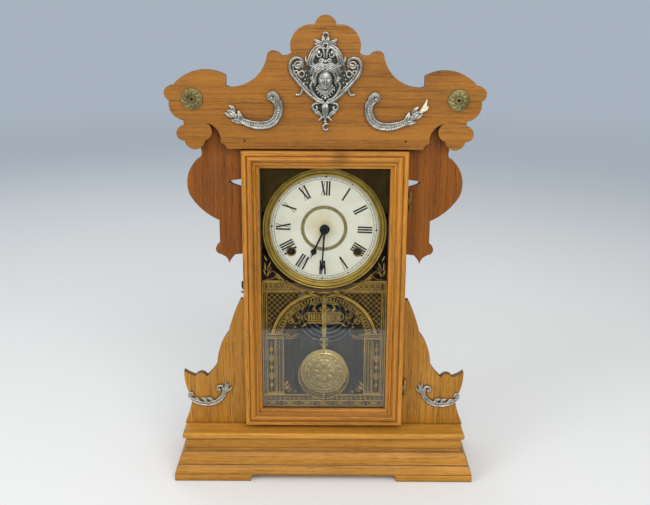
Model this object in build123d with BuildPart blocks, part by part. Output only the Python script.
"""Gingerbread clock: a carved oak shelf clock with a glazed door, dial, pendulum and gong.

Frame: X to the viewer's right, Y to the back, Z up. The origin is on the surface that the
clock stands on, under the middle of its base. All sizes are in millimetres.
"""

from build123d import *
import os
from math import acos, atan2, cos, degrees, hypot, pi, radians, sin, sqrt

# Base
base_width = 376.0
base_depth = 120.0
base_height = 61.5
base_top_thickness = 8.0
base_top_inset = 10.0
base_top_rounding = 3.0
base_wood = 24.0
foot_height = 9.5
foot_gap_width = 184.0
foot_gap_height = 9.0
foot_gap_corner = 4.0
back_rail_thickness = 10.0
glue_block_side = 16.0
glue_block_height = 34.0

# Case
case_width = 197.2
case_height = 384.5
case_wood = 9.5
case_floor_thickness = 6.0
back_board_thickness = 6.0
case_front_setback = 35.0
crest_block_depth = 14.0
crest_block_height = 18.0

# Door
door_height = 351.0
door_thickness = 15.5
door_member_width = 21.0
door_side_reveal = 0.0
glass_thickness = 2.0
glass_rebate_width = 4.0
glass_rebate_depth = 5.5
glass_play = 0.4
bead_thickness = 3.0
bead_width = 5.0

# Crest and side wings
crest_thickness = 9.5
crest_clearance = 2.0
crest_drawn_case_half = 98.6
wing_thickness = 9.5
wing_setback = 5.0
crest_nail_radius = 1.3
crest_nail_inset = 4.6
crest_nail_height = 9.5

# Cast ornaments
ornament_relief = 5.0
mask_height_on_crest = 84.5
mask_plate = 1.8
mask_bedding = 0.3
mask_ring_rise = 1.6
rosette_radius = 12.5
rosette_offset = 154.0
rosette_height_on_crest = 57.5
tack_radius = 1.6
scroll_band = 10.5
wing_scroll_band = 5.0

# Door hinges and catch
hinge_leaf_length = 20.0
hinge_leaf_thickness = 1.0
door_leaf_width = 11.0
hinge_knuckle_radius = 2.4
hinge_pin_radius = 1.2
hinge_gap = 0.3
hinge_running_fit = 0.06
upper_hinge_height = 290.5
lower_hinge_height = 48.0
hook_height = 182.5
hook_reach = 21.0
hook_thickness = 1.6
hook_width = 5.0
hook_stud_radius = 1.3
hook_pivot_radius = 1.5
hook_fit = 0.08
hook_stand_off = 0.8
hook_rest_lift = 25.0
hook_pivot_inset = 8.0
hook_jaw_relief = 1.4
hook_screw_head = 3.0
hook_screw_head_height = 1.2

# Dial
dial_height = 252.0
dial_radius = 74.0
dial_thickness = 1.0
dial_setback = 12.5
bezel_outer_radius = 76.0
bezel_inner_radius = 66.35
bezel_rise = 4.5
bezel_foot = 1.2
dial_centre_hole = 5.0
winding_hole_radius = 4.6
winding_spread = 41.0
winding_drop = 29.5
grommet_outer_radius = 6.0
grommet_thickness = 0.9
dial_rail_height = 12.0
dial_rail_thickness = 8.0
dial_rail_overlap = 5.5

# Hands
hour_hand_length = 44.0
minute_hand_length = 58.0
hand_thickness = 0.8
hand_gap = 1.4
hour_hand_angle = 204.6
minute_hand_angle = 183.6
# Root half width, the spade's place, half width and length, and the hub radius
hour_hand_form = (1.3, 31.0, 3.6, 11.0, 5.0)
minute_hand_form = (1.3, 47.0, 2.6, 10.0, 3.6)
hand_pipe_wall = 0.6
hand_nut_radius = 4.6
hand_nut_height = 3.2

# Movement plates
plate_width = 112.0
plate_height = 116.0
plate_thickness = 1.8
plate_gap = 30.0
plate_drop = 46.0
front_plate_setback = 30.0
plate_corner = 8.0
pillar_radius = 2.5
pillar_screw_radius = 1.3
nut_radius = 3.4
nut_height = 2.4
mounting_spread = 47.0
mounting_low = -39.0
mounting_high = 64.0
mounting_post_radius = 4.0
mounting_screw_radius = 1.6
mounting_screw_head = 3.4

# Movement arbors and wheels
arbor_radius = 1.1
pivot_radius = 0.7
pivot_fit = 0.07
shoulder_gap = 0.3
wheel_thickness = 1.2
wheel_rim = 3.0
addendum = 0.7
dedendum = 1.15
tooth_base_share = 0.5
leaf_base_share = 0.36
tooth_tip_share = 0.16
great_teeth = 72
great_radius = 33.0
great_pinion_leaves = 8
second_teeth = 60
second_radius = 25.5
centre_pinion_leaves = 10
centre_teeth = 72
centre_radius = 21.6
third_pinion_leaves = 8
third_teeth = 80
third_radius = 20.0
escape_pinion_leaves = 8
escape_teeth = 38
escape_radius = 13.0
escape_drop = 20.0
strike_second_radius = 21.0
strike_third_pinion_leaves = 8
strike_third_teeth = 60
strike_third_radius = 15.0
strike_third_angle = 95.0
fly_pinion_leaves = 8
fly_angle = 60.0
fly_blade_half = 7.5
fly_blade_length = 12.0
cannon_teeth = 12
minute_wheel_teeth = 36
minute_wheel_radius = 12.0
minute_pinion_leaves = 10
hour_wheel_teeth = 40
motion_angle = -28.0
winding_arbor_radius = 3.0
winding_square = 4.2
ratchet_radius = 9.0
ratchet_teeth = 18
ratchet_thickness = 1.9
mainspring_coils = 9
mainspring_inner_radius = 7.0
mainspring_strip = 0.9
mainspring_pitch = 2.7
mainspring_width = 14.0

# Pendulum
pendulum_drop_to_bob = 275.2
bob_centre_height = 107.0
bob_radius = 32.0
bob_thickness = 10.0
bob_back_gap = 6.0
rod_width = 5.0
rod_thickness = 1.0
rod_fit = 0.3
swing_limit = 5.0
crutch_length = 46.0
crutch_wire_radius = 0.7

# Gong and hammer
gong_height = 185.0
gong_wire_radius = 1.2
gong_turns = 5
gong_first_radius = 11.0
gong_lead = 3.0
gong_pitch = 6.0
gong_stand_off = 3.4
gong_block_width = 5.2
gong_block_height = 3.4
gong_foot_radius = 12.0
gong_foot_gap = 0.4
hammer_drop = 27.0
hammer_wire_radius = 0.9
hammer_head_radius = 4.2
hammer_head_length = 12.0
hammer_gap = 0.3
hammer_head_offset = (-29.6, 29.2)
hammer_lift = 12.0

# Levels and planes that the sizes above set
foot_front = -base_depth / 2
case_back = base_depth / 2
case_front = foot_front + case_front_setback
case_half = case_width / 2
case_top = base_height + case_height
inner_half = case_half - case_wood
back_board_front = case_back - back_board_thickness
case_leaf_width = wing_setback - hinge_gap
hinge_offset = hinge_leaf_thickness + hinge_knuckle_radius + hinge_gap
door_bottom = base_height + case_floor_thickness
door_top = door_bottom + door_height
door_half = case_half - door_side_reveal
crest_bottom = door_top + crest_clearance
crest_front = case_front - crest_thickness
wing_front = case_front + wing_setback
wing_back = wing_front + wing_thickness
dial_front = case_front + dial_setback
dial_back = dial_front + dial_thickness
dial_centre = door_bottom + dial_height
front_plate_front = case_front + front_plate_setback
front_plate_back = front_plate_front + plate_thickness
back_plate_front = front_plate_back + plate_gap
back_plate_back = back_plate_front + plate_thickness
bob_plane = back_board_front - bob_back_gap - bob_thickness / 2
gong_plane = back_board_front - gong_stand_off


def facing(depth, x=0.0, z=0.0):
    """A drawing plane seen from the front: sketch x runs right, sketch y runs up."""
    return Plane(origin=(x, depth, z), x_dir=(1, 0, 0), z_dir=(0, -1, 0))


def keep(piece, name):
    """Label one finished piece and write it to its own file."""
    piece.label = name
    export_step(piece, f"parts/{name}.step")


def slab(radius, front, back, x=0.0, z=0.0, mode=Mode.ADD):
    """A round length lying along the depth, between two depths."""
    with BuildSketch(facing(back, x, z)) as face:
        Circle(radius)
    extrude(face.sketch, amount=back - front, mode=mode)


def edge_run(start, end, rise):
    """One edge of an outline: straight, or an arc that rises to the left of its travel."""
    if rise == 0:
        Line(start, end)
        return
    along = Vector(*end) - Vector(*start)
    left = Vector(-along.Y, along.X).normalized()
    crown = (Vector(*start) + Vector(*end)) * 0.5 + left * rise
    ThreePointArc(start, crown, end)


def outline(corners):
    """A closed outline from corners (x, y, rise of the edge to the next corner)."""
    following = corners[1:] + corners[:1]
    for (x, y, rise), (next_x, next_y, _) in zip(corners, following):
        edge_run((x, y), (next_x, next_y), rise)


def open_outline(corners):
    """An open run of edges from corners (x, y, rise of the edge to the next corner)."""
    for (x, y, rise), (next_x, next_y, _) in zip(corners[:-1], corners[1:]):
        edge_run((x, y), (next_x, next_y), rise)


def moulded_member(start, along, inward, outward, length, section, mitres):
    """A straight moulding: section x runs inward, section y outward, mitred at 45 degrees."""
    section_plane = Plane(origin=start, x_dir=inward, z_dir=along)
    end = Vector(*start) + Vector(*along) * length
    with BuildPart() as member:
        with BuildSketch(section_plane) as face:
            with BuildLine():
                outline(section)
            make_face()
        extrude(face.sketch, amount=length)
        if mitres[0]:
            split(bisect_by=Plane(origin=start, z_dir=Vector(*along) - Vector(*inward)))
        if mitres[1]:
            split(bisect_by=Plane(origin=end, z_dir=Vector(*along) * -1 - Vector(*inward)))
    return member


# Base mouldings: the section's x runs inward from the foot and its y runs up
moulding_top = base_height - base_top_thickness
base_section = [
    (1.2, 0.0, 0.0),
    (base_wood, 0.0, 0.0),
    (base_wood, moulding_top, 0.0),
    (13.7, moulding_top, 0.0),
    (13.7, moulding_top - 11.5, 0.0),
    (12.4, moulding_top - 12.0, 2.3),
    (12.0, moulding_top - 16.5, 0.0),
    (11.4, moulding_top - 17.5, -1.6),
    (6.1, 22.6, 0.0),
    (5.2, 20.4, 0.0),
    (4.4, 19.4, -0.5),
    (0.8, 12.0, 0.0),
    (0.6, foot_height + 0.6, 0.0),
    (0.0, foot_height - 0.8, 0.0),
    (0.0, 1.2, 0.5),
]


def base_mouldings():
    """Front and side mouldings of the base, mitred at the front corners."""
    half = base_width / 2
    front = moulded_member(
        (-half, foot_front, 0), (1, 0, 0), (0, 1, 0), (0, 0, 1),
        base_width, base_section, (True, True),
    )
    with BuildPart() as front_moulding:
        add(front.part)
        with BuildSketch(facing(foot_front + base_wood)) as gap:
            with Locations((0, foot_gap_height / 2 - foot_gap_corner)):
                RectangleRounded(
                    foot_gap_width, foot_gap_height + 2 * foot_gap_corner, foot_gap_corner
                )
        extrude(gap.sketch, amount=base_wood, mode=Mode.SUBTRACT)
    keep(front_moulding.part, "base_front_moulding")

    left = moulded_member(
        (-half, foot_front, 0), (0, 1, 0), (1, 0, 0), (0, 0, 1),
        base_depth, [(x, -y, -rise) for x, y, rise in base_section], (True, False),
    )
    keep(left.part, "base_side_moulding_left")
    keep(mirror(left.part, about=Plane.YZ), "base_side_moulding_right")


def base_boards():
    """The board on top of the base and the rail that closes the base at the back."""
    half = base_width / 2
    with BuildPart() as top_board:
        with BuildSketch(Plane.XY.offset(moulding_top)):
            with Locations((0, base_top_inset / 2)):
                Rectangle(base_width - 2 * base_top_inset, base_depth - base_top_inset)
        extrude(amount=base_top_thickness)
        rounded = top_board.edges().filter_by(Axis.X).sort_by(Axis.Y)[:2]
        rounded += top_board.edges().filter_by(Axis.Y)
        fillet(rounded, base_top_rounding)
    keep(top_board.part, "base_top_board")

    with BuildPart() as back_rail:
        with BuildSketch(Plane.XY):
            with Locations((0, case_back - back_rail_thickness / 2)):
                Rectangle(2 * (half - base_wood), back_rail_thickness)
        extrude(amount=moulding_top)
    keep(back_rail.part, "base_back_rail")


def glue_blocks():
    """Blocks glued under the base board, and the one that ties the crest to the case top."""
    side_x = base_width / 2 - base_wood - glue_block_side / 2
    front_y = foot_front + base_wood + glue_block_side / 2
    back_y = case_back - back_rail_thickness - glue_block_side / 2
    with BuildPart() as blocks:
        with BuildSketch(Plane.XY.offset(moulding_top)):
            with Locations((0, (front_y + back_y) / 2)):
                with GridLocations(2 * side_x, back_y - front_y, 2, 2):
                    Rectangle(glue_block_side, glue_block_side)
        extrude(amount=-glue_block_height)
        with BuildSketch(Plane.XY.offset(case_top)):
            with Locations((0, case_front + crest_block_depth / 2)):
                Rectangle(inner_half, crest_block_depth)
        extrude(amount=crest_block_height)
    keep(blocks.part, "glue_blocks")


def case_boards():
    """Sides, top, floor and back of the case."""
    depth = back_board_front - case_front
    middle = (back_board_front + case_front) / 2
    for side, name in ((-1, "case_side_left"), (1, "case_side_right")):
        with BuildPart() as board:
            with BuildSketch(Plane.XY.offset(base_height)):
                with Locations((side * (case_half - case_wood / 2), middle)):
                    Rectangle(case_wood, depth)
            extrude(amount=case_height)
        keep(board.part, name)

    with BuildPart() as top:
        with BuildSketch(Plane.XY.offset(case_top - case_wood)):
            with Locations((0, middle)):
                Rectangle(2 * inner_half, depth)
        extrude(amount=case_wood)
    keep(top.part, "case_top_board")

    with BuildPart() as floor:
        with BuildSketch(Plane.XY.offset(base_height)):
            with Locations((0, middle)):
                Rectangle(2 * inner_half, depth)
        extrude(amount=case_floor_thickness)
    keep(floor.part, "case_floor")

    with BuildPart() as back:
        with BuildSketch(Plane.XY.offset(base_height)):
            with Locations((0, case_back - back_board_thickness / 2)):
                Rectangle(case_width, back_board_thickness)
        extrude(amount=case_height)
    keep(back.part, "case_back_board")


# Crest: right half of the outline, x from the middle and y up from the lower edge
crest_outer_shift = case_half - crest_drawn_case_half
crest_half = [
    (0.0, 152.5, 3.0),
    (12.6, 141.4, 11.5),
    (39.1, 110.6, -1.3),
    (50.1, 107.4, 1.6),
    (61.4, 112.5, 0.9),
    (66.6, 108.9, -10.0),
    (107.4 + crest_outer_shift, 71.3, -0.6),
    (114.3 + crest_outer_shift, 73.0, 0.0),
    (114.3 + crest_outer_shift, 84.7, 11.5),
    (175.7 + crest_outer_shift, 73.2, 7.8),
    (180.7 + crest_outer_shift, 56.1, 6.0),
    (164.8 + crest_outer_shift, 33.1, 0.0),
    (164.2 + crest_outer_shift, 26.7, 9.2),
    (164.0 + crest_outer_shift, 9.2, 10.3),
    (140.0 + crest_outer_shift, 9.7, 7.6),
    (138.9 + crest_outer_shift, 30.3, -6.0),
    (121.9 + crest_outer_shift, 6.9, -1.5),
    (114.7 + crest_outer_shift, 0.0, 0.0),
]


def crest_board():
    """The fretted board across the top, fixed on the front edges of the case sides."""
    with BuildPart() as crest:
        with BuildSketch(facing(case_front, 0, crest_bottom)) as face:
            with BuildLine():
                open_outline(crest_half + [(0.0, 0.0, 0.0)])
                mirror(about=Plane.YZ)
            make_face()
        extrude(face.sketch, amount=crest_thickness)
        with Locations(facing(crest_front, 0, crest_bottom)):
            with Locations(
                (case_half - crest_nail_inset, crest_nail_height),
                (crest_nail_inset - case_half, crest_nail_height),
            ):
                Hole(crest_nail_radius, depth=crest_thickness)
    keep(crest.part, "crest_board")


# Wings: right-hand outlines, x out from the case side
upper_wing_outline = [
    (0.0, -131.4, 0.0),
    (0.0, -49.5, 0.0),
    (12.4, -45.2, 0.0),
    (16.4, -41.0, 0.0),
    (0.0, -38.4, 0.0),
    (0.0, 30.0, 0.0),
    (43.0, 30.0, 6.0),
    (51.0, 12.0, 0.0),
    (48.0, -6.8, -1.8),
    (53.5, -15.0, 7.2),
    (63.4, -59.0, 3.6),
    (29.0, -89.5, 0.0),
    (29.0, -119.5, 5.6),
    (28.2, -132.1, 0.0),
    (22.5, -135.3, -0.8),
    (18.1, -143.6, -0.8),
    (10.3, -132.5, 0.0),
]
lower_wing_outline = [
    (0.0, 0.0, 0.0),
    (0.0, 168.1, 0.0),
    (5.7, 168.1, 0.9),
    (20.2, 129.7, 0.0),
    (20.1, 126.0, 4.0),
    (36.1, 83.2, -1.2),
    (50.3, 64.7, 4.5),
    (64.7, 64.7, -0.8),
    (78.9, 72.1, 2.9),
    (69.7, 34.9, -1.2),
    (80.0, 0.0, 0.0),
]


def wings():
    """Upper and lower side wings, glued to the outer faces of the case sides."""
    for corners, foot, name in (
        (upper_wing_outline, crest_bottom, "upper_wing"),
        (lower_wing_outline, base_height, "lower_wing"),
    ):
        with BuildPart() as wing:
            with BuildSketch(facing(wing_back, case_half, foot)) as face:
                with BuildLine():
                    outline(corners)
                make_face()
            extrude(face.sketch, amount=wing_thickness)
        keep(wing.part, f"{name}_right")
        keep(mirror(wing.part, about=Plane.YZ), f"{name}_left")


# Door: the section's x runs inward from the outer edge and its y runs forward
door_section = [
    (0.0, 0.0, 0.0),
    (0.0, door_thickness - 3.0, 0.4),
    (1.4, door_thickness - 1.6, 0.0),
    (5.4, door_thickness - 1.6, 0.0),
    (5.4, door_thickness - 3.0, 0.0),
    (6.4, door_thickness - 3.0, 2.9),
    (12.8, door_thickness - 3.2, 0.0),
    (13.8, door_thickness - 3.8, 1.4),
    (16.8, door_thickness - 4.6, 0.0),
    (17.2, door_thickness - 5.6, -0.6),
    (door_member_width, door_thickness - 7.4, 0.0),
    (door_member_width, glass_rebate_depth, 0.0),
    (door_member_width - glass_rebate_width, glass_rebate_depth, 0.0),
    (door_member_width - glass_rebate_width, 0.0, 0.0),
]


def door_frame():
    """Four mitred door members, with a rebate for the glass at the back."""
    low, high, half = door_bottom, door_top, door_half
    forward = (0, -1, 0)
    members = (
        ("door_rail_bottom", (-half, low), (1, 0, 0), (0, 0, 1), 2 * half),
        ("door_rail_top", (half, high), (-1, 0, 0), (0, 0, -1), 2 * half),
        ("door_stile_left", (-half, high), (0, 0, -1), (1, 0, 0), high - low),
        ("door_stile_right", (half, low), (0, 0, 1), (-1, 0, 0), high - low),
    )
    for name, (x, z), along, inward, length in members:
        member = moulded_member(
            (x, case_front, z), along, inward, forward, length, door_section, (True, True)
        )
        keep(member.part, name)


def door_glazing():
    """The pane in the door's rebate, and the four beads that hold it from behind."""
    rebate_half = door_half - door_member_width + glass_rebate_width
    rebate_low = door_bottom + door_member_width - glass_rebate_width
    rebate_high = door_top - door_member_width + glass_rebate_width
    middle = (rebate_low + rebate_high) / 2
    pane_width = 2 * (rebate_half - glass_play)
    pane_height = rebate_high - rebate_low - 2 * glass_play
    pane_back = case_front - glass_rebate_depth + glass_thickness
    with BuildPart() as pane:
        with BuildSketch(facing(pane_back, 0, middle)) as face:
            Rectangle(pane_width, pane_height)
        extrude(face.sketch, amount=glass_thickness)
    keep(pane.part, "door_glass")

    bead_inner = rebate_half - bead_width
    with BuildPart() as beads:
        with BuildSketch(facing(pane_back + bead_thickness, 0, middle)) as face:
            with Locations((rebate_half - bead_width / 2, 0), (bead_width / 2 - rebate_half, 0)):
                Rectangle(bead_width, rebate_high - rebate_low)
            across = (rebate_high - rebate_low - bead_width) / 2
            with Locations((0, across), (0, -across)):
                Rectangle(2 * bead_inner - glass_play, bead_width)
        extrude(face.sketch, amount=bead_thickness)
    keep(beads.part, "glass_beads")


def door_hinges():
    """Two brass butt hinges: leaves on the case with their pins, and leaves on the door."""
    axis_x = case_half + hinge_offset
    thirds = hinge_leaf_length / 3
    with BuildPart() as case_leaves:
        for height in (lower_hinge_height, upper_hinge_height):
            low = door_bottom + height - hinge_leaf_length / 2
            with BuildSketch(Plane.XY.offset(low)) as leaf:
                with Locations((case_half + hinge_leaf_thickness / 2, case_front)):
                    Rectangle(
                        hinge_leaf_thickness, case_leaf_width, align=(Align.CENTER, Align.MIN)
                    )
            extrude(leaf.sketch, amount=hinge_leaf_length)
            for start in (low, low + 2 * thirds):
                with BuildSketch(Plane.XY.offset(start)) as knuckle:
                    with Locations((axis_x, case_front)):
                        Circle(hinge_knuckle_radius)
                    with Locations((case_half, case_front + 1.2)):
                        Rectangle(hinge_offset, 1.2, align=(Align.MIN, Align.MIN))
                extrude(knuckle.sketch, amount=thirds)
            with BuildSketch(Plane.XY.offset(low)) as pin:
                with Locations((axis_x, case_front)):
                    Circle(hinge_pin_radius)
            extrude(pin.sketch, amount=hinge_leaf_length)
    keep(case_leaves.part, "case_hinge_leaves")

    catch_z = base_height + hook_height
    with BuildPart() as door_metal:
        for height in (lower_hinge_height, upper_hinge_height):
            low = door_bottom + height - thirds / 2 + hinge_gap
            reach = thirds - 2 * hinge_gap
            with BuildSketch(Plane.XY.offset(low)) as knuckle:
                with Locations((axis_x, case_front)):
                    Circle(hinge_knuckle_radius)
                with Locations((case_half, case_front - 1.2)):
                    Rectangle(hinge_offset, 1.2, align=(Align.MIN, Align.MAX))
                with Locations((axis_x, case_front)):
                    Circle(hinge_pin_radius + hinge_running_fit, mode=Mode.SUBTRACT)
            extrude(knuckle.sketch, amount=reach)
            with BuildSketch(Plane.XY.offset(low)) as leaf:
                with Locations((case_half, case_front - hinge_gap)):
                    Rectangle(
                        hinge_leaf_thickness,
                        door_leaf_width,
                        align=(Align.MIN, Align.MAX),
                    )
            extrude(leaf.sketch, amount=reach)
        stud_reach = hook_stand_off + hook_thickness + hook_stand_off
        stud_y = wing_front + hook_pivot_inset - hook_reach
        stud_plane = Plane(
            origin=(-door_half, stud_y, catch_z), x_dir=(0, 1, 0), z_dir=(-1, 0, 0)
        )
        with BuildSketch(stud_plane) as stud:
            Circle(hook_stud_radius)
        extrude(stud.sketch, amount=stud_reach)
    keep(door_metal.part, "door_fittings")


def catch_hook():
    """The flat hook on the left case side that drops over the stud on the door's edge."""
    catch_z = base_height + hook_height
    pivot_y = wing_front + hook_pivot_inset
    hook_face = -(case_half + hook_stand_off)
    lift = radians(hook_rest_lift)
    plane = Plane(
        origin=(hook_face, pivot_y, catch_z), x_dir=(0, -cos(lift), sin(lift)), z_dir=(-1, 0, 0)
    )
    jaw = hook_stud_radius + hinge_gap
    with BuildPart() as hook:
        with BuildSketch(plane) as face:
            Circle(hook_width / 2 + 0.6)
            with Locations((hook_reach / 2, 1.2)):
                Rectangle(hook_reach, hook_width)
            with Locations((hook_reach, 0)):
                Circle(jaw + 2.6)
            with Locations((hook_reach, 0)):
                Circle(jaw, mode=Mode.SUBTRACT)
            with Locations((hook_reach - hook_jaw_relief / 2, 0)):
                Rectangle(
                    2 * jaw + hook_jaw_relief, 8,
                    align=(Align.CENTER, Align.MAX), mode=Mode.SUBTRACT,
                )
            Circle(hook_pivot_radius + hook_fit, mode=Mode.SUBTRACT)
        extrude(face.sketch, amount=hook_thickness)
    keep(hook.part, "catch_hook")


# Mask ornament: right half of the pierced back plate, x and y from the centre of the face
mask_half = [
    (0.0, 49.6, 2.0),
    (6.0, 43.5, -0.8),
    (13.2, 40.0, 1.0),
    (10.4, 34.0, 1.8),
    (19.8, 22.4, 0.0),
    (22.4, 21.6, 0.0),
    (22.6, 14.0, 0.0),
    (26.0, 14.4, 8.0),
    (41.3, 12.0, 3.0),
    (31.0, -6.5, 0.0),
    (26.6, -14.4, -1.6),
    (28.6, -20.6, 0.0),
    (34.4, -20.0, 2.2),
    (33.0, -25.0, 2.4),
    (24.4, -20.4, 0.0),
    (12.0, -30.0, 0.0),
    (14.8, -34.0, 3.4),
    (12.6, -42.6, 0.0),
    (6.0, -48.4, 0.0),
    (4.2, -56.0, 2.4),
    (0.0, -63.1, 0.0),
]


# Rounded masses of the mask, from the centre of the face: place, half sizes and rise
mask_bosses = [
    (0.0, 0.0, 9.8, 13.6, 6.0),
    (0.0, 17.0, 8.6, 4.6, 5.4),
    (9.6, 13.6, 4.6, 4.2, 4.2),
    (13.2, -3.4, 2.4, 6.6, 2.8),
    (12.6, 28.6, 3.0, 6.6, 2.8),
    (5.4, 42.6, 4.0, 2.0, 2.2),
    (24.0, -3.0, 2.2, 5.0, 2.2),
    (0.0, -26.0, 5.4, 3.0, 2.8),
    (0.0, -43.0, 3.6, 8.0, 2.6),
]

# Rings and eyes of its scrolls: place, outer and inner radius
mask_rings = [
    (33.4, 11.4, 7.6, 4.8),
    (30.2, 1.0, 3.6, 1.4),
    (9.6, 27.4, 7.0, 4.4),
    (10.6, -37.0, 3.6, 1.6),
]


def boss(x, z, ground, half_width, half_height, rise):
    """A rounded mass standing on a front plane."""
    seat = (Align.CENTER, Align.CENTER, Align.MIN)
    ball = Sphere(1.0, arc_size1=0, align=seat, mode=Mode.PRIVATE)
    egg = scale(ball, by=(half_width, half_height, rise), mode=Mode.PRIVATE)
    return facing(ground, x, z).location * egg


def mask_ornament():
    """The cast mask on the crest: plate, face, hair, scrolls and pendant."""
    level = crest_bottom + mask_height_on_crest
    ground = crest_front
    with BuildPart() as mask:
        with BuildSketch(facing(ground, 0, level)) as plate:
            with BuildLine():
                open_outline(mask_half)
                mirror(about=Plane.YZ)
            make_face()
        extrude(plate.sketch, amount=mask_plate)
        with BuildSketch(facing(ground - mask_plate, 0, level)) as rings:
            for x, z, outer, inner in mask_rings:
                with Locations((x, z), (-x, z)):
                    Circle(outer)
                    Circle(inner, mode=Mode.SUBTRACT)
        extrude(rings.sketch, amount=mask_ring_rise)
        for x, z, half_width, half_height, rise in mask_bosses:
            for side in ((-1, 1) if x else (1,)):
                add(boss(
                    side * x, level + z, ground - mask_plate + mask_bedding,
                    half_width, half_height, rise,
                ))
    keep(mask.part, "mask_ornament")


def crest_scrolls():
    """The pair of cast C-scrolls below the mask, with a curled head and a leafy tip."""
    bottom = (70.2, 22.6 + scroll_band / 2)
    with BuildPart() as scroll:
        for lift, height, trim in ((0.0, 0.55, 0.0), (0.55, 0.45, 1.5)):
            ground = facing(crest_front - lift * ornament_relief, 0, crest_bottom)
            with BuildSketch(ground) as band:
                with BuildLine() as line:
                    first = ThreePointArc((56.0, 63.0), (50.5, 44.0), bottom)
                    TangentArc(first @ 1, (95.0, 33.0), tangent=first % 1)
                trace(line.line, scroll_band - 2 * trim)
                for x, z, radius in (
                    (54.6, 64.0, 8.6), (99.0, 38.5, 7.6), (106.5, 43.6, 5.6), (112.5, 49.6, 3.8)
                ):
                    with Locations((x, z)):
                        Circle(radius - trim)
                if trim == 0:
                    with BuildLine():
                        outline([(113.0, 52.6, 1.0), (118.6, 56.1, 1.5), (115.6, 47.4, 0.0)])
                    make_face()
            extrude(band.sketch, amount=height * ornament_relief)
    pair = Compound(children=[scroll.part.solid(), mirror(scroll.part, about=Plane.YZ).solid()])
    keep(pair, "crest_scrolls")


def wing_scrolls():
    """The pair of cast leaf scrolls low on the side wings."""
    relief = 0.7 * ornament_relief
    with BuildPart() as scroll:
        for lift, height, trim in ((0.0, 0.55, 0.0), (0.55, 0.45, 0.8)):
            ground = facing(wing_front - lift * relief, case_half, base_height)
            with BuildSketch(ground) as band:
                with BuildLine() as line:
                    first = ThreePointArc((70.4, 39.5), (62.0, 30.0), (51.4, 28.5))
                    TangentArc(first @ 1, (29.0, 38.0), tangent=first % 1)
                trace(line.line, wing_scroll_band - 2 * trim)
                for x, z, radius in (
                    (71.0, 41.5, 4.2), (30.5, 42.0, 5.6), (34.5, 48.0, 4.6), (26.0, 56.0, 3.6),
                    (28.0, 50.0, 4.6), (50.5, 33.0, 4.0),
                ):
                    with Locations((x, z)):
                        Circle(radius - trim)
            extrude(band.sketch, amount=height * relief)
    pair = Compound(children=[scroll.part.solid(), mirror(scroll.part, about=Plane.YZ).solid()])
    keep(pair, "wing_scrolls")


def rosettes():
    """Two domed brass rosettes at the ends of the crest."""
    level = crest_bottom + rosette_height_on_crest
    with BuildPart() as pair:
        for side in (-1, 1):
            axis = Axis((side * rosette_offset, crest_front, level), (0, -1, 0))
            plane = Plane(
                origin=(side * rosette_offset, crest_front, level),
                x_dir=(1, 0, 0),
                z_dir=(0, 0, 1),
            )
            with BuildSketch(plane) as half_section:
                with BuildLine():
                    outline([
                        (tack_radius, 0.0, 0.0),
                        (tack_radius, -3.4, 0.0),
                        (3.6, -4.4, 0.9),
                        (rosette_radius, -1.2, 0.4),
                        (rosette_radius, 0.0, 0.0),
                    ])
                make_face()
            revolve(half_section.sketch, axis=axis)
    keep(pair.part, "rosettes")


def case_fasteners():
    """Nails in the crest, tacks in the rosettes and the screw that the catch hook turns on."""
    nail_x = case_half - crest_nail_inset
    nail_z = crest_bottom + crest_nail_height
    with BuildPart() as nails:
        for side in (-1, 1):
            slab(crest_nail_radius, crest_front + 0.2, case_front, side * nail_x, nail_z)
            slab(
                tack_radius,
                crest_front - 3.9,
                crest_front,
                side * rosette_offset,
                crest_bottom + rosette_height_on_crest,
            )
        screw_plane = Plane(
            origin=(-case_half, wing_front + hook_pivot_inset, base_height + hook_height),
            x_dir=(0, -1, 0),
            z_dir=(-1, 0, 0),
        )
        shank = hook_stand_off + hook_thickness + hinge_gap
        with BuildSketch(screw_plane) as screw:
            Circle(hook_pivot_radius)
        extrude(screw.sketch, amount=shank)
        with BuildSketch(screw_plane.offset(shank)) as head:
            Circle(hook_screw_head)
        extrude(head.sketch, amount=hook_screw_head_height)
    keep(nails.part, "case_fasteners")


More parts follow.
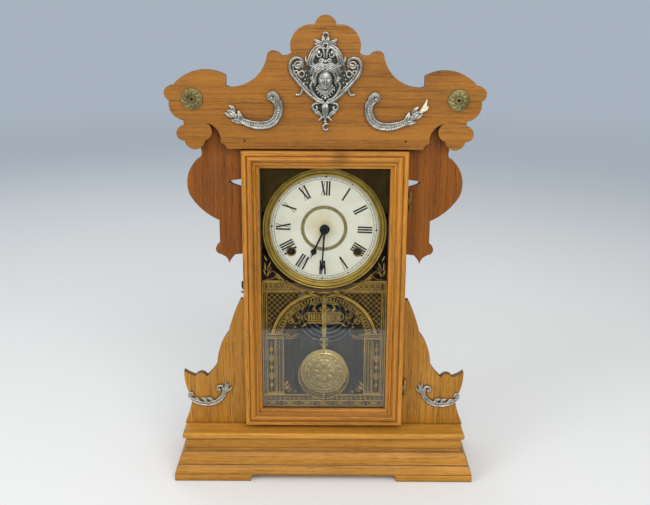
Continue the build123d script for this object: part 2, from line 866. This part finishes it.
def dial():
    """Dial sheet with its bezel, winding-hole grommets and the two rails that carry it."""
    hole_z = dial_centre - winding_drop
    with BuildPart() as sheet:
        slab(dial_radius, dial_front, dial_back, 0, dial_centre)
        slab(dial_centre_hole, dial_front, dial_back, 0, dial_centre, Mode.SUBTRACT)
        for side in (-1, 1):
            slab(
                winding_hole_radius, dial_front, dial_back,
                side * winding_spread, hole_z, Mode.SUBTRACT,
            )
    keep(sheet.part, "dial_sheet")

    axis = Axis((0, 0, dial_centre), (0, -1, 0))
    with BuildPart() as bezel:
        plane = Plane(origin=(0, dial_front, dial_centre), x_dir=(1, 0, 0), z_dir=(0, 0, 1))
        with BuildSketch(plane) as ring:
            with BuildLine():
                outline([
                    (bezel_inner_radius, 0.0, 0.0),
                    (dial_radius + hinge_gap, 0.0, 0.0),
                    (dial_radius + hinge_gap, dial_thickness, 0.0),
                    (bezel_outer_radius, dial_thickness, 0.0),
                    (bezel_outer_radius, -bezel_foot, 0.9),
                    (bezel_outer_radius - 3.6, -bezel_rise, 0.9),
                    (bezel_inner_radius + 0.6, -bezel_foot, 0.0),
                ])
            make_face()
        revolve(ring.sketch, axis=axis)
    keep(bezel.part, "dial_bezel")

    with BuildPart() as grommets:
        for side in (-1, 1):
            x = side * winding_spread
            slab(grommet_outer_radius, dial_front - grommet_thickness, dial_front, x, hole_z)
            slab(
                winding_hole_radius, dial_front - grommet_thickness, dial_front,
                x, hole_z, Mode.SUBTRACT,
            )
    keep(grommets.part, "winding_grommets")

    rail_middle = bezel_outer_radius - dial_rail_overlap + dial_rail_height / 2
    with BuildPart() as rails:
        rail_plane = facing(dial_back + dial_rail_thickness, 0, dial_centre)
        with BuildSketch(rail_plane) as face:
            with Locations((0, rail_middle), (0, -rail_middle)):
                Rectangle(2 * inner_half, dial_rail_height)
        extrude(face.sketch, amount=dial_rail_thickness)
    keep(rails.part, "dial_rails")


def spade_outline(length, root_half, bulge_at, bulge_half, bulge_length):
    """Right half of a spade hand, pointing up, from the hub to the tip."""
    return [
        (0.0, 0.0, 0.0),
        (0.0, length, 0.0),
        (0.5, bulge_at + bulge_length * 0.62, -0.4),
        (bulge_half, bulge_at + bulge_length * 0.2, 0.5),
        (bulge_half * 0.6, bulge_at - bulge_length * 0.2, 0.3),
        (0.9, bulge_at - bulge_length * 0.36, 0.0),
        (root_half, 0.0, 0.0),
    ]


hour_hand_back = dial_front - 2.6
hour_hand_front = hour_hand_back - hand_thickness
minute_hand_back = hour_hand_front - hand_gap
minute_hand_front = minute_hand_back - hand_thickness
cannon_radius = 1.9
cannon_tip_radius = 1.3
hour_pipe_radius = 3.2
hour_pipe_bore = cannon_radius + pivot_fit


def clock_hand(name, angle, back, length, root, bulge_at, bulge_half, bulge_length, hub, bore):
    """One blued hand, turned clockwise from twelve, with a round hub on its pipe."""
    with BuildPart() as hand:
        turn = radians(angle)
        plane = Plane(
            origin=(0, back, dial_centre), x_dir=(cos(turn), 0, -sin(turn)), z_dir=(0, -1, 0)
        )
        with BuildSketch(plane) as face:
            with BuildLine():
                outline(spade_outline(length, root, bulge_at, bulge_half, bulge_length))
            make_face()
            mirror(about=Plane.YZ)
            Circle(hub)
            Circle(bore, mode=Mode.SUBTRACT)
        extrude(face.sketch, amount=hand_thickness)
        if name == "minute_hand":
            slab(
                hand_nut_radius, minute_hand_front - hand_nut_height, minute_hand_front,
                0, dial_centre,
            )
            crown = hand.faces().sort_by(Axis.Y)[0].edges()
            fillet(crown, hand_nut_height * 0.6)
    keep(hand.part, name)


def tooth_ring(teeth, pitch_radius, base_share, phase):
    """A closed ring of straight-sided teeth, with one tooth standing at the phase angle."""
    module = 2 * pitch_radius / teeth
    root = pitch_radius - dedendum * module
    tip = pitch_radius + addendum * module
    pitch = 360.0 / teeth
    ring = []
    for index in range(teeth):
        middle = phase + index * pitch
        for radius, offset in (
            (root, -base_share), (tip, -tooth_tip_share), (tip, tooth_tip_share), (root, base_share)
        ):
            turn = radians(middle + offset * pitch / 2)
            ring.append((radius * cos(turn), radius * sin(turn)))
    return ring


def toothed_slab(x, z, front, back, teeth, pitch_radius, phase, pinion=False):
    """A wheel blank or pinion with its teeth, between two depths."""
    base_share = leaf_base_share if pinion else tooth_base_share
    with BuildSketch(facing(back, x, z)) as face:
        with BuildLine():
            Polyline(*tooth_ring(teeth, pitch_radius, base_share, phase), close=True)
        make_face()
    extrude(face.sketch, amount=back - front)


def crossings(x, z, front, back, rim_radius, hub_radius, arms=4):
    """Cut the openings between the arms of a wheel."""
    with BuildSketch(facing(back, x, z)) as face:
        Circle(rim_radius)
        Circle(hub_radius, mode=Mode.SUBTRACT)
        with PolarLocations(0, arms):
            Rectangle(2.4, 2 * rim_radius, mode=Mode.SUBTRACT)
    extrude(face.sketch, amount=back - front, mode=Mode.SUBTRACT)


def towards(start, end):
    """The angle, in degrees, in which one arbor sees another."""
    return degrees(atan2(end[1] - start[1], end[0] - start[0]))


def gap_phase(teeth, angle):
    """The phase that turns a gap between two teeth to an angle."""
    return angle + 180.0 / teeth


# Arbor places, in front view, from the centre arbor
centre = (0.0, 0.0)
time_winding = (winding_spread, -winding_drop)
strike_winding = (-winding_spread, -winding_drop)
great_pinion_radius = great_radius * great_pinion_leaves / great_teeth
great_depthing = great_radius + great_pinion_radius
centre_pinion_radius = second_radius * centre_pinion_leaves / second_teeth
second_depthing = second_radius + centre_pinion_radius
winding_reach = hypot(*time_winding)
second_angle = degrees(acos(
    (winding_reach ** 2 + second_depthing ** 2 - great_depthing ** 2)
    / (2 * winding_reach * second_depthing)
)) + towards(centre, time_winding)
second_place = (
    second_depthing * cos(radians(second_angle)),
    second_depthing * sin(radians(second_angle)),
)
strike_second_place = (-second_place[0], second_place[1])
pendulum_pivot_height = bob_centre_height + pendulum_drop_to_bob
verge_place = (0.0, pendulum_pivot_height - dial_centre)
escape_place = (0.0, verge_place[1] - escape_drop)
third_pinion_radius = centre_radius * third_pinion_leaves / centre_teeth
third_depthing = centre_radius + third_pinion_radius
escape_pinion_radius = third_radius * escape_pinion_leaves / third_teeth
escape_depthing = third_radius + escape_pinion_radius
third_level = (
    escape_place[1] ** 2 + third_depthing ** 2 - escape_depthing ** 2
) / (2 * escape_place[1])
third_place = (-sqrt(third_depthing ** 2 - third_level ** 2), third_level)
strike_third_pinion_radius = (
    strike_second_radius * strike_third_pinion_leaves / second_teeth
)
strike_third_depthing = strike_second_radius + strike_third_pinion_radius
strike_third_place = (
    strike_second_place[0] + strike_third_depthing * cos(radians(strike_third_angle)),
    strike_second_place[1] + strike_third_depthing * sin(radians(strike_third_angle)),
)
fly_pinion_radius = strike_third_radius * fly_pinion_leaves / strike_third_teeth
fly_depthing = strike_third_radius + fly_pinion_radius
fly_place = (
    strike_third_place[0] + fly_depthing * cos(radians(fly_angle)),
    strike_third_place[1] + fly_depthing * sin(radians(fly_angle)),
)
hammer_place = (0.0, -hammer_drop)
motion_depthing = minute_wheel_radius * (1 + cannon_teeth / minute_wheel_teeth)
hour_wheel_radius = motion_depthing * hour_wheel_teeth / (hour_wheel_teeth + minute_pinion_leaves)
motion_place = (
    motion_depthing * cos(radians(motion_angle)),
    motion_depthing * sin(radians(motion_angle)),
)
plain_arbors = [
    centre, second_place, third_place, escape_place, verge_place,
    strike_second_place, strike_third_place, fly_place, hammer_place,
]
pillar_places = [(-50.0, 38.0), (50.0, 38.0), (4.5, -38.0), (-30.0, 64.0), (30.0, 64.0)]

# Depths of the wheels between the plates
great_back = back_plate_front - 7.0
great_front = great_back - 2.0
second_back = back_plate_front - 3.2
second_front = second_back - wheel_thickness
centre_wheel_front = front_plate_back + 1.4
centre_wheel_back = centre_wheel_front + wheel_thickness
third_wheel_front = front_plate_back + 7.4
third_wheel_back = third_wheel_front + wheel_thickness
escape_wheel_front = front_plate_back + 2.6
escape_wheel_back = escape_wheel_front + 1.0
strike_third_front = front_plate_back + 11.6
strike_third_back = strike_third_front + wheel_thickness
pinion_overhang = 0.8
motion_cannon_back = front_plate_front - 0.6
motion_cannon_front = motion_cannon_back - 2.0
hour_wheel_back = motion_cannon_front - 0.5
hour_wheel_front = hour_wheel_back - wheel_thickness


def movement_plates():
    """Two brass plates, drilled for every arbor, with the pillars, nuts and mounting posts."""
    low = dial_centre - plate_drop
    middle = low + plate_height / 2
    mounts = [
        (side * mounting_spread, level)
        for side in (-1, 1)
        for level in (mounting_low, mounting_high)
    ]
    for name, front, back in (
        ("front_plate", front_plate_front, front_plate_back),
        ("back_plate", back_plate_front, back_plate_back),
    ):
        with BuildPart() as plate:
            with BuildSketch(facing(back, 0, middle)) as face:
                RectangleRounded(plate_width, plate_height, plate_corner)
            extrude(face.sketch, amount=back - front)
            with Locations(facing(front, 0, dial_centre)):
                with Locations(*plain_arbors):
                    Hole(pivot_radius + pivot_fit, depth=plate_thickness)
                with Locations(time_winding, strike_winding):
                    Hole(winding_arbor_radius + pivot_fit, depth=plate_thickness)
                with Locations(*pillar_places):
                    Hole(pillar_screw_radius, depth=plate_thickness)
                if name == "back_plate":
                    with Locations(*mounts):
                        Hole(mounting_screw_radius, depth=plate_thickness)
                else:
                    with Locations(motion_place):
                        Hole(pivot_radius, depth=plate_thickness)
                    with Locations(centre):
                        Hole(arbor_radius + pivot_fit, depth=plate_thickness)
            if name == "front_plate":
                x, z = motion_place
                slab(pivot_radius, hour_wheel_front - 1.0, front, x, dial_centre + z)
            else:
                cock_z = pendulum_pivot_height + 4.0
                with BuildSketch(facing(back, 0, cock_z)) as cock:
                    with Locations((0, 4)):
                        Rectangle(9, 6)
                extrude(cock.sketch, amount=-(bob_plane - back + 3.0))
                with BuildSketch(facing(bob_plane + rod_thickness / 2, 0, cock_z)) as slit:
                    with Locations((0, 2.5)):
                        Rectangle(rod_width + 1.0, 5)
                extrude(slit.sketch, amount=rod_thickness, mode=Mode.SUBTRACT)
        keep(plate.part, name)

    with BuildPart() as pillars:
        for x, z in pillar_places:
            slab(pillar_radius, front_plate_back, back_plate_front, x, dial_centre + z)
            slab(
                pillar_screw_radius, front_plate_front - nut_height, front_plate_back,
                x, dial_centre + z,
            )
            slab(
                pillar_screw_radius, back_plate_front, back_plate_back + nut_height,
                x, dial_centre + z,
            )
        for x, z in mounts:
            slab(mounting_post_radius, back_plate_back, back_board_front, x, dial_centre + z)
            slab(
                mounting_screw_radius, back_plate_back, back_board_front,
                x, dial_centre + z, Mode.SUBTRACT,
            )
    with BuildPart() as fasteners:
        for x, z in pillar_places:
            for back in (front_plate_front, back_plate_back + nut_height):
                with BuildSketch(facing(back, x, dial_centre + z)) as nut:
                    RegularPolygon(nut_radius, 6)
                    Circle(pillar_screw_radius, mode=Mode.SUBTRACT)
                extrude(nut.sketch, amount=nut_height)
        for x, z in mounts:
            slab(mounting_screw_radius, back_plate_front, back_board_front, x, dial_centre + z)
            slab(
                mounting_screw_head, back_plate_front - 1.8, back_plate_front,
                x, dial_centre + z,
            )
    keep(Compound(children=pillars.part.solids() + fasteners.part.solids()), "plate_pillars")


def arbor(x, z):
    """A steel arbor between the plates, with a pivot in each."""
    slab(arbor_radius, front_plate_back + shoulder_gap, back_plate_front - shoulder_gap, x, z)
    slab(pivot_radius, front_plate_front + 0.2, front_plate_back + shoulder_gap, x, z)
    slab(pivot_radius, back_plate_front - shoulder_gap, back_plate_back - 0.2, x, z)


def going_train():
    """Great wheel, second wheel, centre arbor, third wheel and escape wheel."""
    x, z = time_winding[0], dial_centre + time_winding[1]
    bore = winding_arbor_radius + pivot_fit
    for side, name in ((1, "time_great_wheel"), (-1, "strike_great_wheel")):
        place = (side * time_winding[0], time_winding[1])
        mesh = (side * second_place[0], second_place[1])
        with BuildPart() as wheel:
            phase = towards(place, mesh)
            toothed_slab(
                side * x, z, great_front, great_back, great_teeth, great_radius, phase
            )
            crossings(
                side * x, z, great_front, great_back,
                great_radius - wheel_rim - 2, ratchet_radius + 3, 5,
            )
            slab(bore, great_front, great_back, side * x, z, Mode.SUBTRACT)
        keep(wheel.part, name)

    with BuildPart() as second:
        x, z = second_place[0], dial_centre + second_place[1]
        arbor(x, z)
        toothed_slab(
            x, z, great_front - pinion_overhang, great_back + pinion_overhang,
            great_pinion_leaves, great_pinion_radius,
            gap_phase(great_pinion_leaves, towards(second_place, time_winding)), True,
        )
        toothed_slab(
            x, z, second_front, second_back, second_teeth, second_radius,
            towards(second_place, centre),
        )
        crossings(x, z, second_front, second_back, second_radius - wheel_rim, 6)
    keep(second.part, "time_second_wheel")

    with BuildPart() as middle:
        z = dial_centre
        slab(
            arbor_radius, front_plate_front - 0.2, back_plate_front - shoulder_gap, 0, z
        )
        slab(pivot_radius, back_plate_front - shoulder_gap, back_plate_back - 0.2, 0, z)
        toothed_slab(
            0, z, second_front - pinion_overhang, second_back + pinion_overhang,
            centre_pinion_leaves, centre_pinion_radius,
            gap_phase(centre_pinion_leaves, towards(centre, second_place)), True,
        )
        toothed_slab(
            0, z, centre_wheel_front, centre_wheel_back, centre_teeth, centre_radius,
            towards(centre, third_place),
        )
        crossings(0, z, centre_wheel_front, centre_wheel_back, centre_radius - wheel_rim, 5)
    keep(middle.part, "centre_arbor")

    with BuildPart() as third:
        x, z = third_place[0], dial_centre + third_place[1]
        arbor(x, z)
        toothed_slab(
            x, z, centre_wheel_front - pinion_overhang, centre_wheel_back + pinion_overhang,
            third_pinion_leaves, third_pinion_radius,
            gap_phase(third_pinion_leaves, towards(third_place, centre)), True,
        )
        toothed_slab(
            x, z, third_wheel_front, third_wheel_back, third_teeth, third_radius,
            towards(third_place, escape_place),
        )
        crossings(x, z, third_wheel_front, third_wheel_back, third_radius - wheel_rim, 5)
    keep(third.part, "time_third_wheel")

    with BuildPart() as escape:
        x, z = escape_place[0], dial_centre + escape_place[1]
        arbor(x, z)
        toothed_slab(
            x, z, third_wheel_front - pinion_overhang, third_wheel_back + pinion_overhang,
            escape_pinion_leaves, escape_pinion_radius,
            gap_phase(escape_pinion_leaves, towards(escape_place, third_place)), True,
        )
        ring = []
        for index in range(escape_teeth):
            turn = 2 * pi * index / escape_teeth
            lead = 2 * pi * 0.42 / escape_teeth
            ring.append((escape_radius * cos(turn), escape_radius * sin(turn)))
            ring.append(((escape_radius - 2.2) * cos(turn + lead),
                         (escape_radius - 2.2) * sin(turn + lead)))
        with BuildSketch(facing(escape_wheel_back, x, z)) as face:
            with BuildLine():
                Polyline(*ring, close=True)
            make_face()
        extrude(face.sketch, amount=escape_wheel_back - escape_wheel_front)
        crossings(x, z, escape_wheel_front, escape_wheel_back, escape_radius - 4.4, 3.6)
    keep(escape.part, "escape_wheel")


def strike_train():
    """Second wheel, third wheel and fly of the strike side."""
    with BuildPart() as second:
        x, z = strike_second_place[0], dial_centre + strike_second_place[1]
        arbor(x, z)
        toothed_slab(
            x, z, great_front - pinion_overhang, great_back + pinion_overhang,
            great_pinion_leaves, great_pinion_radius,
            gap_phase(great_pinion_leaves, towards(strike_second_place, strike_winding)), True,
        )
        toothed_slab(
            x, z, second_front, second_back, second_teeth, strike_second_radius,
            towards(strike_second_place, strike_third_place),
        )
        crossings(x, z, second_front, second_back, strike_second_radius - wheel_rim, 6)
    keep(second.part, "strike_second_wheel")

    with BuildPart() as third:
        x, z = strike_third_place[0], dial_centre + strike_third_place[1]
        arbor(x, z)
        toothed_slab(
            x, z, second_front - pinion_overhang, second_back + pinion_overhang,
            strike_third_pinion_leaves, strike_third_pinion_radius,
            gap_phase(strike_third_pinion_leaves,
                      towards(strike_third_place, strike_second_place)), True,
        )
        toothed_slab(
            x, z, strike_third_front, strike_third_back,
            strike_third_teeth, strike_third_radius, towards(strike_third_place, fly_place),
        )
        crossings(
            x, z, strike_third_front, strike_third_back, strike_third_radius - wheel_rim, 5
        )
    keep(third.part, "strike_third_wheel")

    with BuildPart() as fly:
        x, z = fly_place[0], dial_centre + fly_place[1]
        arbor(x, z)
        toothed_slab(
            x, z, strike_third_front - pinion_overhang, strike_third_back + pinion_overhang,
            fly_pinion_leaves, fly_pinion_radius,
            gap_phase(fly_pinion_leaves, towards(fly_place, strike_third_place)), True,
        )
        blade_front = strike_third_back + pinion_overhang + 1.0
        with BuildSketch(facing(blade_front + fly_blade_length, x, z)) as blade:
            Rectangle(2 * fly_blade_half, 1.0)
        extrude(blade.sketch, amount=fly_blade_length)
    keep(fly.part, "strike_fly")


def winding_arbors():
    """Squared winding arbors, each with its ratchet wheel, and their open mainsprings."""
    square_front = dial_front + 0.4
    for side, name in ((1, "time_winding_arbor"), (-1, "strike_winding_arbor")):
        x, z = side * winding_spread, dial_centre - winding_drop
        with BuildPart() as winder:
            slab(winding_arbor_radius, front_plate_front - 2.0, back_plate_back + 0.5, x, z)
            with BuildSketch(facing(front_plate_front - 2.0, x, z)) as square:
                Rectangle(winding_square, winding_square)
            extrude(square.sketch, amount=front_plate_front - 2.0 - square_front)
            toothed_slab(
                x, z, great_front - shoulder_gap - ratchet_thickness, great_front - shoulder_gap,
                ratchet_teeth, ratchet_radius, 0.0,
            )
            slab(5.0, great_back + shoulder_gap, great_back + 1.4, x, z)
        keep(winder.part, name)

    with BuildPart() as springs:
        spring_back = great_front - shoulder_gap - ratchet_thickness - shoulder_gap
        for side in (-1, 1):
            x, z = side * winding_spread, dial_centre - winding_drop
            with BuildSketch(facing(spring_back, x, z)) as strip:
                with BuildLine() as line:
                    spiral_runs(
                        mainspring_inner_radius, mainspring_pitch, 2 * mainspring_coils
                    )
                trace(line.line, mainspring_strip)
            extrude(strip.sketch, amount=mainspring_width)
    keep(springs.part, "mainsprings")


def spiral_runs(first_radius, pitch, half_turns):
    """A flat spiral of half turns, each a quarter pitch to one side and half a pitch wider."""
    radius = first_radius
    end = (first_radius, 0.0)
    for index in range(half_turns):
        side = 1 if index % 2 == 0 else -1
        middle_x = end[0] - side * radius
        far = (middle_x - side * radius, 0.0)
        ThreePointArc(end, (middle_x, side * radius), far)
        end = far
        radius += pitch / 2
    return end


def motion_work():
    """Cannon pinion, minute wheel and hour wheel, between the front plate and the dial."""
    z = dial_centre
    with BuildPart() as cannon:
        toothed_slab(
            0, z, motion_cannon_front, motion_cannon_back,
            cannon_teeth, motion_depthing - minute_wheel_radius,
            gap_phase(cannon_teeth, towards(centre, motion_place)), True,
        )
        slab(cannon_radius, minute_hand_back, motion_cannon_front, 0, z)
        slab(cannon_tip_radius, minute_hand_front, minute_hand_back, 0, z)
    keep(cannon.part, "cannon_pinion")

    x, level = motion_place
    pinion_radius = motion_depthing - hour_wheel_radius
    with BuildPart() as minute_wheel:
        toothed_slab(
            x, z + level, motion_cannon_front + 0.3, motion_cannon_back - 0.3,
            minute_wheel_teeth, minute_wheel_radius, towards(motion_place, centre),
        )
        toothed_slab(
            x, z + level, hour_wheel_front - 0.4, motion_cannon_front + 0.3,
            minute_pinion_leaves, pinion_radius,
            gap_phase(minute_pinion_leaves, towards(motion_place, centre)), True,
        )
        slab(
            pivot_radius + pivot_fit, hour_wheel_front - 0.4, motion_cannon_back,
            x, z + level, Mode.SUBTRACT,
        )
    keep(minute_wheel.part, "minute_wheel")

    with BuildPart() as hour_wheel:
        toothed_slab(
            0, z, hour_wheel_front, hour_wheel_back,
            hour_wheel_teeth, hour_wheel_radius, towards(centre, motion_place),
        )
        slab(hour_pipe_radius, hour_hand_back, hour_wheel_front, 0, z)
        slab(hour_pipe_radius - 0.6, hour_hand_front, hour_hand_back, 0, z)
        slab(hour_pipe_bore, hour_hand_front, hour_wheel_back, 0, z, Mode.SUBTRACT)
    keep(hour_wheel.part, "hour_wheel")


def pendulum():
    """Suspension spring and rod, bob with its rating nut, and the verge with its crutch."""
    rod_top = pendulum_pivot_height + 4.0
    bob_top = bob_centre_height + bob_radius
    with BuildPart() as rod:
        with BuildSketch(facing(bob_plane + rod_thickness / 2)) as strip:
            with BuildLine():
                half = rod_width / 2
                outline([
                    (-half, pendulum_pivot_height - 9, 0.0),
                    (half, pendulum_pivot_height - 9, 0.0),
                    (half, bob_top + 18, 0.0),
                    (0.9, bob_top + 4, 0.0),
                    (0.9, bob_centre_height - bob_radius - 4.5, 0.0),
                    (-0.9, bob_centre_height - bob_radius - 4.5, 0.0),
                    (-0.9, bob_top + 4, 0.0),
                    (-half, bob_top + 18, 0.0),
                ])
            make_face()
            with Locations((0, bob_top + 14)):
                Rectangle(11, 2.2)
        extrude(strip.sketch, amount=rod_thickness)
        with BuildSketch(facing(bob_plane + 0.15)) as spring:
            with Locations((0, (rod_top + pendulum_pivot_height - 9) / 2)):
                Rectangle(3.6, rod_top - pendulum_pivot_height + 9)
        extrude(spring.sketch, amount=0.3)
    keep(rod.part, "pendulum_rod")

    with BuildPart() as bob:
        plane = Plane(
            origin=(0, bob_plane, bob_centre_height), x_dir=(1, 0, 0), z_dir=(0, 0, 1)
        )
        half = bob_thickness / 2
        with BuildSketch(plane) as section:
            with BuildLine():
                outline([
                    (0.0, half, 0.0),
                    (0.0, -half, -0.9),
                    (bob_radius - 6.5, -half + 1.6, 0.0),
                    (bob_radius - 5.0, -half + 0.9, -1.2),
                    (bob_radius, -1.0, 0.0),
                    (bob_radius, 1.0, -0.8),
                    (bob_radius - 8.0, half, 0.0),
                ])
            make_face()
        revolve(section.sketch, axis=Axis((0, bob_plane, bob_centre_height), (0, -1, 0)))
        with BuildSketch(Plane.XY.offset(bob_centre_height - bob_radius - 6)) as slot:
            with Locations((0, bob_plane)):
                Rectangle(1.8 + 2 * rod_fit, rod_thickness + 2 * rod_fit)
        extrude(slot.sketch, amount=2 * bob_radius + 12, mode=Mode.SUBTRACT)
        with BuildSketch(Plane.XY.offset(bob_centre_height - bob_radius - 3.6)) as nut:
            with Locations((0, bob_plane)):
                Circle(3.4)
                Rectangle(1.8, rod_thickness, mode=Mode.SUBTRACT)
        extrude(nut.sketch, amount=3.2)
    keep(bob.part, "pendulum_bob")


def verge_and_crutch():
    """The strip verge over the escape wheel, and the crutch wire that loops round the rod."""
    x, z = verge_place[0], dial_centre + verge_place[1]
    pallet_gap = 1.9
    with BuildPart() as verge:
        slab(arbor_radius, front_plate_back + shoulder_gap, back_plate_front - shoulder_gap, x, z)
        slab(pivot_radius, front_plate_front + 0.2, front_plate_back + shoulder_gap, x, z)
        slab(pivot_radius, back_plate_front - shoulder_gap, back_plate_back + 1.4, x, z)
        reach = escape_radius + pallet_gap
        with BuildSketch(facing(escape_wheel_back + 0.4, x, z)) as strip:
            with BuildLine():
                outline([
                    (-reach * 0.62, -escape_drop + reach * 0.80, 0.0),
                    (-reach * 0.62 - 0.9, -escape_drop + reach * 0.88, 3.0),
                    (0.0, 2.2, 3.0),
                    (reach * 0.62 + 0.9, -escape_drop + reach * 0.88, 0.0),
                    (reach * 0.62, -escape_drop + reach * 0.80, -2.0),
                    (0.0, 0.6, -2.0),
                ])
            make_face()
        extrude(strip.sketch, amount=escape_wheel_back - escape_wheel_front + 0.8)
        with BuildSketch(facing(back_plate_back + 1.6, x, z)) as wire:
            with Locations((0, -crutch_length / 2)):
                Rectangle(2 * crutch_wire_radius, crutch_length)
            Circle(1.8)
        extrude(wire.sketch, amount=1.2)
        with BuildSketch(facing(bob_plane + 2.6, x, z - crutch_length)) as fork:
            Rectangle(rod_width + 4.4, 1.6)
        extrude(fork.sketch, amount=bob_plane + 2.6 - back_plate_back - 0.4)
        with BuildSketch(facing(bob_plane + 1.4, x, z - crutch_length)) as slot:
            Rectangle(rod_width + 2 * rod_fit, 1.6)
        extrude(slot.sketch, amount=2.8, mode=Mode.SUBTRACT)
    keep(verge.part, "verge_and_crutch")


def gong():
    """The wire gong: one flat coil of round wire in a screwed block on the back board."""
    with BuildPart() as coil:
        with BuildLine(facing(gong_plane, 0, gong_height)) as path:
            Line((gong_first_radius, -gong_lead), (gong_first_radius, 0))
            spiral_runs(gong_first_radius, gong_pitch, 2 * gong_turns)
        lead_plane = Plane(
            origin=(gong_first_radius, gong_plane, gong_height - gong_lead),
            z_dir=(0, 0, 1),
        )
        with BuildSketch(lead_plane) as wire:
            Circle(gong_wire_radius)
        sweep(wire.sketch, path=path.wires()[0])
    keep(coil.part, "gong_coil")

    samples = []
    radius = gong_first_radius
    end = gong_first_radius
    for index in range(2 * gong_turns):
        side = 1 if index % 2 == 0 else -1
        middle_x = end - side * radius
        for step in range(24):
            turn = pi * step / 24
            samples.append((middle_x + side * radius * cos(turn), side * radius * sin(turn)))
        end = middle_x - side * radius
        radius += gong_pitch / 2
    nearest = min(
        hypot(a[0] - b[0], a[1] - b[1])
        for index, a in enumerate(samples)
        for b in samples[index + 24:]
    )
    print(f"gong coil: least gap to itself {nearest - 2 * gong_wire_radius:.2f} mm")

    block_top = gong_height - gong_lead
    foot_back = back_board_front
    foot_front_face = gong_plane + gong_wire_radius + gong_foot_gap
    with BuildPart() as block:
        slab(gong_foot_radius, foot_front_face, foot_back, gong_first_radius, block_top)
        block_centre = block_top - gong_block_height / 2
        with BuildSketch(facing(foot_front_face, gong_first_radius, block_centre)) as upright:
            Rectangle(gong_block_width, gong_block_height)
        extrude(
            upright.sketch, amount=foot_front_face - gong_plane + gong_wire_radius + 0.6
        )
    keep(block.part, "gong_block")


def hammer():
    """Hammer arbor, its bent wire behind the back plate and the head above the gong."""
    x, z = hammer_place[0], dial_centre + hammer_place[1]
    wire_plane = back_plate_back + 1.6
    head_x, head_z = hammer_head_offset[0], gong_height + hammer_head_offset[1]
    with BuildPart() as striker:
        slab(arbor_radius, front_plate_back + shoulder_gap, back_plate_front - shoulder_gap, x, z)
        slab(pivot_radius, front_plate_front + 0.2, front_plate_back + shoulder_gap, x, z)
        slab(pivot_radius, back_plate_front - shoulder_gap, wire_plane, x, z)
        with BuildSketch(facing(wire_plane + hammer_wire_radius, x, z)) as wire:
            Circle(1.8)
            with BuildLine() as line:
                Line((0, 0), (head_x, head_z - z))
            trace(line.line, 2 * hammer_wire_radius)
        extrude(wire.sketch, amount=2 * hammer_wire_radius)
        slab(
            hammer_head_radius, wire_plane - hammer_wire_radius,
            gong_plane + gong_wire_radius, head_x, head_z,
        )
    keep(striker.part, "strike_hammer")


def main():
    """Make every piece of the clock and write it out."""
    os.makedirs("parts", exist_ok=True)
    base_mouldings()
    base_boards()
    glue_blocks()
    case_boards()
    crest_board()
    wings()
    door_frame()
    door_glazing()
    door_hinges()
    catch_hook()
    mask_ornament()
    crest_scrolls()
    wing_scrolls()
    rosettes()
    case_fasteners()
    dial()
    clock_hand(
        "hour_hand", hour_hand_angle, hour_hand_back, hour_hand_length,
        *hour_hand_form, hour_pipe_radius - hand_pipe_wall,
    )
    clock_hand(
        "minute_hand", minute_hand_angle, minute_hand_back, minute_hand_length,
        *minute_hand_form, cannon_tip_radius,
    )
    movement_plates()
    going_train()
    strike_train()
    winding_arbors()
    motion_work()
    pendulum()
    verge_and_crutch()
    gong()
    hammer()


main()
